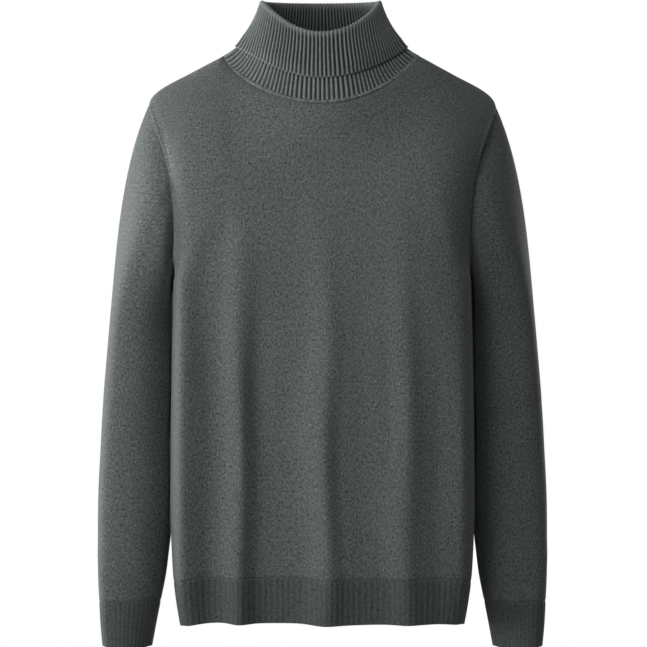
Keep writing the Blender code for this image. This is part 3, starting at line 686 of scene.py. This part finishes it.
def sleevePiece(name, node, mirror, material):
    build = sleeves
    places = np.linspace(0, lastPlace, build["edgePlaces"])
    levels = list(np.linspace(ribTopLevel, armpitLevel, build["bodyRows"] + 1))
    levels += list(np.linspace(armpitLevel, chestLevel, panels["armRows"] + 1)[1:])
    steps = np.linspace(0, 1, panels["topRows"] + 1)
    front = torsoPanel("front", places, levels, steps)
    back = torsoPanel("back", places, levels, steps)
    down = list(np.linspace(sleeveHead["topLevel"], sleeveHead["cuffTop"], build["armRows"] + 1))
    headSteps = np.linspace(0, 1, build["headRows"] + 1)
    grid = sleeveGrid(front, back, build["bodyRows"], headSteps, down)
    if mirror:
        grid = mirrored(grid)
    grid = settled(grid)[::-1, ::-1]          # from the cuff up, columns anticlockwise
    size = clothSize(grid, True)
    arc = acrossArc(closed(grid))             # round each ring, from the outer line
    girth = arc[:, -1:]
    share = (arc / girth)[:, :-1]
    low = upArc(grid)
    uv = np.stack([arc - girth / 2, closed(low)], axis=-1)
    out = np.zeros(grid.shape[:2])
    spotShare = share if mirror else 1 - share
    for at, start, end, turn, width, height in build["creases"]:
        along = (grid[..., 2] - start) / (end - start)
        off = (spotShare - at - turn * (along - 0.5)) * girth
        tilt = turn * girth / abs(end - start)
        off = off / np.sqrt(1 + tilt**2)
        out += height * creaseTaper(along) * np.exp(-(off / width) ** 2)
    fromTop = low[-1:] - low
    held = smooth(np.minimum(share, 1 - share) / build["headFree"])    # free at the shoulder's point
    sink = smooth(fromTop / build["headRise"]) * np.exp(-(fromTop / build["headReach"]) ** 2)
    normals = gridNormals(grid, True)
    towards = normals[..., 1]                 # below 0 on the front; the side by the body stays where it is
    depth = np.where(towards < 0, -towards * build["headSink"], towards * build["backSink"])
    brim = np.where(towards < 0, -towards * panels["brimHeight"], 0)    # its edge follows the front's
    brim *= np.exp(-(fromTop / build["headRise"]) ** 2)
    out += seamDip(low, panels["ribSeamDepth"], panels["ribSeamReach"]) + (brim - depth * sink) * held
    outer = grid + normals * out[..., None]
    inner = outer - normals * build["wall"]
    piece = clothPiece(name, outer, inner, uv, True, material, ["sewn"] * 2)
    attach(piece, "root")
    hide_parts(node)
    return piece, grid, size


leftSleeve, leftGrid, sleeveSize = sleevePiece("left_sleeve", "sleeve_left", False, jersey)
rightSleeve, rightGrid, rightSize = sleevePiece("right_sleeve", "sleeve_right", True, jersey)
print("sleeves", round(sleeveSize, 4), leftGrid.shape)


hemRib = {
    "ribs": 76, "wales": 3, "across": 8, "rows": 24, "wall": 0.0022, "depth": 0.00035,
    "low": -0.662, "middle": -0.637, "cornerRise": 0.0026, "cornerReach": 0.007,
}
cuffRib = {
    "ribs": 42, "wales": 3, "across": 8, "rows": 24, "wall": 0.0022, "depth": 0.0003,
    "cornerRise": 0.0022, "cornerReach": 0.008,
}
ribbing = {                                   # both alike: how ribs stray, and fade at their two ends
    "stray": ((0.10, 0.61, 0.0), (0.08, 0.23, 1.0)), "power": 0.8, "topReach": 0.003,
    "lowHold": 0.35, "lowReach": 0.002, "seamDepth": 0.0006, "seamReach": 0.0018,
}


def ribShape(phase, power):                   # 1 on a rib's back, 0 in its groove
    return (0.5 + 0.5 * np.cos(2 * np.pi * phase)) ** power


def ribSpread(columns, ribs, wales):          # place across the stitches, the same count for every rib
    return np.arange(columns + 1) / columns * ribs * wales * knitLook["wale"]


def grows(least, full, distance, reach):      # from the least at an edge to the full size further in
    return least + (full - least) * smooth(distance / reach)


def ribWall(grid, ring, build, fromLow, fromTop):
    columns = grid.shape[1] - (0 if ring else 1)
    phase = np.arange(grid.shape[1]) / columns * build["ribs"]
    wander = sum(size * np.sin(phase * pace + start) for size, pace, start in ribbing["stray"])
    phase = phase + wander - wander[0]
    rows = np.ones((len(grid), 1))
    ridge = ribShape(phase, ribbing["power"])[None, :] * rows
    hollow = ribShape(phase + 0.5, ribbing["power"])[None, :] * rows
    hold = smooth(fromTop / ribbing["topReach"]) * grows(ribbing["lowHold"], 1, fromLow, ribbing["lowReach"])
    normals = gridNormals(grid, ring)
    out = -build["depth"] * (1 - ridge) * hold + seamDip(fromTop, ribbing["seamDepth"], ribbing["seamReach"])
    inside = build["wall"] - build["depth"] * (1 - hollow) * hold
    outer = grid + normals * out[..., None]
    inner = grid - normals * inside[..., None]
    # The third value is the mask for the painted shade in the grooves.
    return outer, inner, 1 - (1 - ridge) * hold


def cornered(grid, fromSide, build):          # the lower corners, at the two sides, are rounded off
    low = np.linspace(1, 0, len(grid))[:, None] ** 2
    lift = build["cornerRise"] * np.exp(-(fromSide / build["cornerReach"]) ** 2) * low
    return grid + lift[..., None] * [0, 0, 1]


def ribPiece(name, node, grid, fromSide, build, ring, rims, turned=False):
    size = clothSize(grid, ring)
    grid = cornered(grid, fromSide[None, :], build)
    low = upArc(grid)
    up = closed(low) if ring else low
    spread = ribSpread(build["ribs"] * build["across"], build["ribs"], build["wales"])
    uv = np.stack([np.broadcast_to(spread, up.shape), up], axis=-1)
    if turned:
        grid, low, uv = grid[:, ::-1], low[:, ::-1], uv[:, ::-1]
    outer, inner, ridge = ribWall(grid, ring, build, low, low[-1:] - low)
    piece = clothPiece(name, outer, inner, uv, ring, hemKnit, rims, ridge)
    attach(piece, "root")
    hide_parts(node)
    return piece, grid, size


def hemPiece(side):
    dense = np.linspace(0, lastPlace, samples["hem"])
    arc = arcOf(torsoRow(side, hemRib["middle"], dense))
    columns = hemRib["ribs"] * hemRib["across"]
    places = np.interp(np.linspace(0, arc[-1], columns + 1), arc, dense)
    levels = np.linspace(hemRib["low"], ribTopLevel, hemRib["rows"] + 1)
    grid = settled(np.array([torsoRow(side, level, places) for level in levels]))
    outline = np.abs(grid[0, :, 0])
    fromSide = outline.max() - outline
    name, node, rims = side + "_hem_ribbing", "hem_rib_" + side, ["free"] + ["sewn"] * 3
    return ribPiece(name, node, grid, fromSide, hemRib, False, rims, side == "back")


def cuffPiece(name, node, mirror):
    half = cuffRib["ribs"] * cuffRib["across"] // 2
    shares = [np.linspace(0, 1, half + 1)] * 2
    levels = np.linspace(sleeveHead["cuffTop"], sleeveHead["cuffEnd"], cuffRib["rows"] + 1)
    grid = np.array([sleeveRing(level, shares) for level in levels])
    if mirror:
        grid = mirrored(grid)
    grid = settled(grid)[::-1, ::-1]
    outline = grid[0, :, 0]
    fromSide = np.minimum(outline - outline.min(), outline.max() - outline)
    return ribPiece(name, node, grid, fromSide, cuffRib, True, ["free", "sewn"])


frontHem, frontHemGrid, hemSize = hemPiece("front")
backHem, backHemGrid, backHemSize = hemPiece("back")
leftCuff, leftCuffGrid, cuffSize = cuffPiece("left_cuff", "cuff_left", False)
rightCuff, rightCuffGrid, rightCuffSize = cuffPiece("right_cuff", "cuff_right", True)
print("hem and cuffs", round(hemSize, 4), round(backHemSize, 4), round(cuffSize, 4))


collar = {
    "frontRibs": 50, "backRibs": 54, "wales": 3, "across": 8, "wall": 0.0027,
    "depth": 0.0020, "ribPower": 1.05, "hollowPower": 0.75, "stray": ((0.13, 5, 0), (0.10, 11, 2)),
    "gap": 0.0008, "edgeGap": 0.0003, "edgeWall": 0.0013, "edgeReach": 0.016,
    "edgeHold": 0.45, "edgeHoldReach": 0.0016, "underStart": 0.0003,
    "seamStart": 0.0002, "seamHold": 0.25, "insideHold": 0.4, "seamReach": 0.004,
    "closeRow": 0.002, "foldDepth": 0.35, "foldReach": 0.006, "foldTurns": [22, 45, 67, 90, 113, 135, 158],
    "lowRows": 13, "hiddenRows": 8, "underRows": 8, "turnRows": 24, "standRows": 22,
}


def collarPiece():
    build = collar
    seams = [settled(neckSeam(side, build[side + "Ribs"] * build["across"])) for side in ("front", "back")]
    ribs = build["frontRibs"] + build["backRibs"]
    curve, widths = collarStand(*seams)
    dense = hermite(*curve, np.linspace(0, 1, samples["stand"]))
    outward = gridNormals(dense, True)
    columns = dense.shape[1]
    arcs = upArc(dense)
    top = arcs[-1]
    low = top - widths                          # where the turn-down ends on the stand

    def along(marks):                           # points and facings of the stand at arcs (rows, columns)
        at = np.empty((len(marks), columns, 3))
        facing = np.empty_like(at)
        for c in range(columns):
            for axis in range(3):
                at[:, c, axis] = np.interp(marks[:, c], arcs[:, c], dense[:, c, axis])
                facing[:, c, axis] = np.interp(marks[:, c], arcs[:, c], outward[:, c, axis])
        return at, unit(facing)

    def between(a, b, count, last=True):
        t = np.linspace(0, 1, count, endpoint=last)[:, None]
        return a + (b - a) * t

    phase = np.arange(columns) / build["across"]
    turns = 2 * np.pi * phase / ribs
    wander = sum(size * np.sin(turns * waves + start) for size, waves, start in build["stray"])
    ridge = ribShape(phase + wander, build["ribPower"])
    hollow = ribShape(phase + wander + 0.5, build["hollowPower"])
    depth, wall, gap = build["depth"], build["wall"], build["gap"]
    blocks, grooveShadeMasks = [], []

    def layer(marks, offset, sign, shape, hold, thin=1.0):   # one face of the cloth, its grooves cut inwards
        at, facing = along(marks)
        groove = depth * (1 - shape)[None, :] * hold * thin
        blocks.append(at + facing * (offset - sign * groove)[..., None])
        grooveShadeMasks.append(1 - (1 - shape)[None, :] * hold)

    def apart(marks):                           # the layers close up towards the turn-down's edge
        return grows(build["edgeGap"], gap, marks - low, build["edgeReach"])

    def thick(marks):                           # and the turn-down thins out there
        return grows(build["edgeWall"], wall, marks - low, build["edgeReach"])

    def faded(marks):                           # ribs flatten where the cloth folds over
        return 1 - (1 - build["foldDepth"]) * smooth(1 - (top - marks) / build["foldReach"])

    seam = np.zeros(columns) + build["seamStart"]
    # Stand, outer side: seen low down, hidden under the turn-down.
    shown = between(seam, low, build["lowRows"], False)
    marks = np.concatenate([shown, between(low, top, build["hiddenRows"])])
    layer(marks, np.zeros_like(marks), 1, hollow, grows(build["seamHold"], 1, marks, build["seamReach"]))
    # Turn-down, inner side, from the fold to its edge.
    marks = between(top, low + build["underStart"], build["underRows"])
    layer(marks, apart(marks), -1, hollow, np.ones_like(marks), thick(marks) / wall)
    # Turn-down, outer side, from its edge up to the fold.
    marks = between(low, top, build["turnRows"])
    hold = grows(build["edgeHold"], 1, marks - low, build["edgeHoldReach"]) * faded(marks)
    layer(marks, apart(marks) + thick(marks), 1, ridge, hold, thick(marks) / wall)
    # The fold, a half round of cloth over the two layers.
    at, facing = along(top[None, :])
    rise = unit(dense[-1] - dense[-4])
    radius = (wall + gap / 2 - build["foldDepth"] * depth * (1 - ridge))[:, None]
    for angle in np.radians(build["foldTurns"]):
        arch = radius * (np.cos(angle) * facing[0] + np.sin(angle) * rise)
        blocks.append((at[0] + facing[0] * gap / 2 + arch)[None])
        grooveShadeMasks.append(1 - build["foldDepth"] * (1 - ridge)[None, :])
    # Stand, inner side, from the fold down to the neck seam.
    marks = between(top, seam, build["standRows"])
    hold = grows(build["insideHold"], 1, marks, build["seamReach"]) * faded(marks)
    layer(marks, np.zeros_like(marks) - wall, -1, ridge, hold)

    loop = np.concatenate(blocks)               # rows round the strip's section, columns round the neck
    # One mean length for each row keeps the stitches level round the neck.
    up = upArc(loop).mean(axis=1, keepdims=True) * np.ones((1, columns + 1))
    up = np.concatenate([up, up[-1:] + build["closeRow"]])
    spread = ribSpread(columns, ribs, build["wales"])
    uv = np.stack([np.broadcast_to(spread, up.shape), up], axis=-1)
    index = closed(np.arange(len(loop) * columns).reshape(len(loop), columns))
    index = np.concatenate([index, index[:1]])
    a, b, c, d = index[:-1, :-1], index[:-1, 1:], index[1:, 1:], index[1:, :-1]
    faces = np.stack([a, b, c, d], axis=-1).reshape(-1, 4)
    maps = np.stack([uv[:-1, :-1], uv[:-1, 1:], uv[1:, 1:], uv[1:, :-1]], axis=2).reshape(-1, 4, 2)
    strip = np.concatenate(grooveShadeMasks).reshape(-1)
    piece = meshPiece("ribbed_collar", loop.reshape(-1, 3), faces, maps, strip, ribKnit)
    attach(piece, "root")
    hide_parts("roll_collar")
    full = hermite(*curve, np.linspace(0, 1, samples["cut"]))
    return piece, clothSize(full, True), float(widths.mean()), float(top.mean())


ribbedCollar, standSize, turnWidth, standHeight = collarPiece()
print("collar", round(standSize, 4), round(turnWidth, 4), round(standHeight, 4))


chain = {
    "neck": {"pitch": 0.0030, "length": 0.0024, "width": 0.0025, "height": 0.0017, "lift": 0.0006,
             "sway": 0.25, "endSink": 0.0026, "endPower": 6, "centreLevel": -0.10, "upwards": 0.8},
    "armhole": {"pitch": 0.0030, "length": 0.0021, "width": 0.0010, "height": 0.0010, "lift": 0.0003,
                "sway": 0.12, "outwards": 0.5, "sideways": 0.5, "forwards": 0.6},
    "neckSteps": 180, "segments": 8, "rings": 6,
    "uneven": ((0.10, 1.7), (0.06, 0.63)),    # stitches differ a little in size
    "mapStep": 4.3,                           # and each has its own tone
    "shoulderGap": 0.012,                     # the armhole chain stops short of the shoulder's point
}


def stitchShape(name, length, width, height):  # one loop of yarn: a slim pod, lying along X
    bpy.ops.object.select_all(action="DESELECT")
    bpy.ops.mesh.primitive_uv_sphere_add(segments=chain["segments"], ring_count=chain["rings"], radius=1)
    pod = bpy.context.object
    pod.name = name
    bpy.ops.object.mode_set(mode="EDIT")
    bpy.ops.mesh.select_all(action="SELECT")
    bpy.ops.transform.rotate(value=math.radians(90), orient_axis="Y", center_override=(0, 0, 0))
    bpy.ops.transform.resize(value=(length, width, height))
    bpy.ops.object.mode_set(mode="OBJECT")
    return pod


def stitchLine(name, path, facing, build, material, sink=None):
    # Copies of one stitch along a seam, each turned to lie on the cloth, joined into one piece.
    pod = stitchShape(name + "_pod", build["length"], build["width"], build["height"])
    points = np.array([v.co[:] for v in pod.data.vertices])
    order = np.lexsort(points.T)                # a new sphere's points and faces come in no fixed order
    points, rank = points[order], np.argsort(order)
    faces = []
    for polygon in pod.data.polygons:
        face = [int(rank[v]) for v in polygon.vertices]
        first = face.index(min(face))
        faces.append(face[first:] + face[:first])
    faces.sort()
    bpy.data.objects.remove(pod)
    arc = arcOf(path)
    count = int(arc[-1] / build["pitch"])
    at = (np.arange(count) + 0.5) * arc[-1] / count
    spots = np.stack([np.interp(at, arc, c) for c in path.T], axis=1)
    ups = unit(np.stack([np.interp(at, arc, c) for c in facing.T], axis=1))
    sinks = np.interp(at, arc, sink) if sink is not None else 0 * at
    beside = build["pitch"] / 3
    ahead = np.stack([np.interp(at + beside, arc, c) for c in path.T], axis=1)
    behind = np.stack([np.interp(at - beside, arc, c) for c in path.T], axis=1)
    ways = unit(ahead - behind)
    allPoints, allFaces = [], []
    for k in range(count):
        side = unit(np.cross(ups[k], ways[k]))
        up = np.cross(ways[k], side)
        way = unit(ways[k] + side * build["sway"] * (1 if k % 2 else -1))
        side = np.cross(up, way)
        grown = 1 + sum(size * math.sin(k * pace) for size, pace in chain["uneven"])
        placed = spots[k] + up * (build["lift"] - sinks[k]) + (points * grown) @ np.array([way, side, up])
        allFaces += [[v + len(allPoints) * len(points) for v in face] for face in faces]
        allPoints.append(placed)
    mesh = bpy.data.meshes.new(name)
    mesh.from_pydata(np.concatenate(allPoints).tolist(), [], allFaces)
    corners = np.repeat(np.arange(count), sum(len(face) for face in faces))
    spread = np.stack([corners * build["pitch"] * chain["mapStep"], corners * build["pitch"]], axis=1)
    mesh.uv_layers.new(name="stitches").data.foreach_set("uv", spread.reshape(-1).astype(np.float32))
    mesh.polygons.foreach_set("use_smooth", [True] * len(allFaces))
    mesh.materials.append(material)
    piece = bpy.data.objects.new(name, mesh)
    bpy.context.collection.objects.link(piece)
    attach(piece, "root")
    return piece


neckChain, armChain = chain["neck"], chain["armhole"]
frontSeam, backSeam = (settled(neckSeam(side, chain["neckSteps"])) for side in ("front", "back"))
neckLine = np.concatenate([frontSeam, backSeam[-2::-1]])
neckOut = unit(neckLine - np.array([0, seamY, neckChain["centreLevel"]]))
neckFacing = unit(neckOut + [0, 0, neckChain["upwards"]])
neckSink = neckChain["endSink"] * np.abs(neckLine[:, 0] / neck["halfWidth"]) ** neckChain["endPower"]
stitchLine("neck_linking", neckLine, neckFacing, neckChain, linking, neckSink)
for side, sign in (("left", 1), ("right", -1)):
    armRow = panels["lowRows"]
    frontEdge = frontGrid[armRow:, -1 if sign > 0 else 0]
    backEdge = backGrid[armRow:, 0 if sign > 0 else -1]
    middle = np.concatenate([frontEdge, backEdge]).mean(axis=0)
    for part, edge, forwards in (("front", frontEdge, -1), ("back", backEdge, 1)):
        arc = arcOf(edge)
        edge = edge[arc < arc[-1] - chain["shoulderGap"]]
        facing = unit(edge - middle) * armChain["outwards"]
        facing = unit(facing + np.array([sign * armChain["sideways"], forwards * armChain["forwards"], 0]))
        stitchLine(side + "_armhole_" + part, edge, facing, armChain, linking)
print("seams linked")


studio = {
    "floorLevel": -1.15, "floorRadius": 6.5, "floorGlow": 0.50, "floorRough": 0.95,
    "floorColour": (0.86, 0.86, 0.86, 1), "white": (1, 1, 1, 1),
    "backdrop": 1.0, "ambient": 0.14, "middle": (0, 0, -0.24),
    "lamps": {                                # side: degrees from the front towards the garment's right
        "key": {"side": 61, "height": 0, "away": 2.6, "size": 1.0, "grid": 48, "power": 4.7},
        "rim": {"side": 125, "height": 10, "away": 3.4, "size": 1.2, "grid": 60, "power": 16.5},
        "front": {"side": 0, "height": 40, "away": 3.4, "size": 1.6, "grid": 40, "power": 1.5},
        "fill": {"side": 28, "height": 8, "away": 3.4, "size": 1.6, "grid": 50, "power": 3.4},
        "top": {"side": 20, "height": 75, "away": 3.0, "size": 1.0, "grid": 180, "power": 11},
        "back": {"side": 180, "height": 50, "away": 3.4, "size": 1.6, "grid": 180, "power": 8},
        "farBack": {"side": -162, "height": 10, "away": 3.4, "size": 1.6, "grid": 60, "power": 9},
    },
    "cameraAt": (0.0012, -6.0, -0.3145), "halfView": 0.372,
}

bpy.ops.object.select_all(action="DESELECT")
bpy.ops.mesh.primitive_circle_add(vertices=96, radius=studio["floorRadius"], fill_type="NGON",
                                  location=(0, 0, studio["floorLevel"]))
floor = bpy.context.object
floor.name = "studio_floor"
floor.visible_diffuse = False                 # pale itself, and throws no light up under the hem
paper = bpy.data.materials.new("floor_paper")
paper.use_nodes = True
paperShader = paper.node_tree.nodes["Principled BSDF"]
paperShader.inputs["Base Color"].default_value = studio["floorColour"]
paperShader.inputs["Roughness"].default_value = studio["floorRough"]
paperShader.inputs["Emission Color"].default_value = studio["white"]
paperShader.inputs["Emission Strength"].default_value = studio["floorGlow"]
floor.data.materials.append(paper)

world = bpy.data.worlds.new("studio_air")
bpy.context.scene.world = world
world.use_nodes = True
air = world.node_tree
seen = wire(air, "ShaderNodeLightPath").outputs["Is Camera Ray"]
strength = sums(air, "MULTIPLY_ADD", seen, studio["backdrop"] - studio["ambient"], studio["ambient"])
air.links.new(strength, air.nodes["Background"].inputs["Strength"])
air.nodes["Background"].inputs["Color"].default_value = studio["white"]

for name, lamp in studio["lamps"].items():
    side, height = math.radians(lamp["side"]), math.radians(lamp["height"])
    light = bpy.data.lights.new(name + "_softbox", "AREA")
    light.energy, light.size = lamp["power"], lamp["size"]
    light.spread = math.radians(lamp["grid"])   # a honeycomb grid: the light falls off round its middle
    holder = bpy.data.objects.new(name + "_softbox", light)
    bpy.context.collection.objects.link(holder)
    holder.visible_camera = False
    way = (-math.sin(side) * math.cos(height), -math.cos(side) * math.cos(height), math.sin(height))
    holder.location = [m + lamp["away"] * w for m, w in zip(studio["middle"], way)]
    holder.rotation_euler = (math.pi / 2 - height, 0, -side)

camera = bpy.data.cameras.new("camera")
holder = bpy.data.objects.new("camera", camera)
bpy.context.collection.objects.link(holder)
holder.location = studio["cameraAt"]
holder.rotation_euler = (math.radians(90), 0, 0)
camera.lens = camera.sensor_width / 2 * -studio["cameraAt"][1] / studio["halfView"]
bpy.context.scene.camera = holder
bpy.context.scene.view_settings.view_transform = "Standard"
print("studio ready")
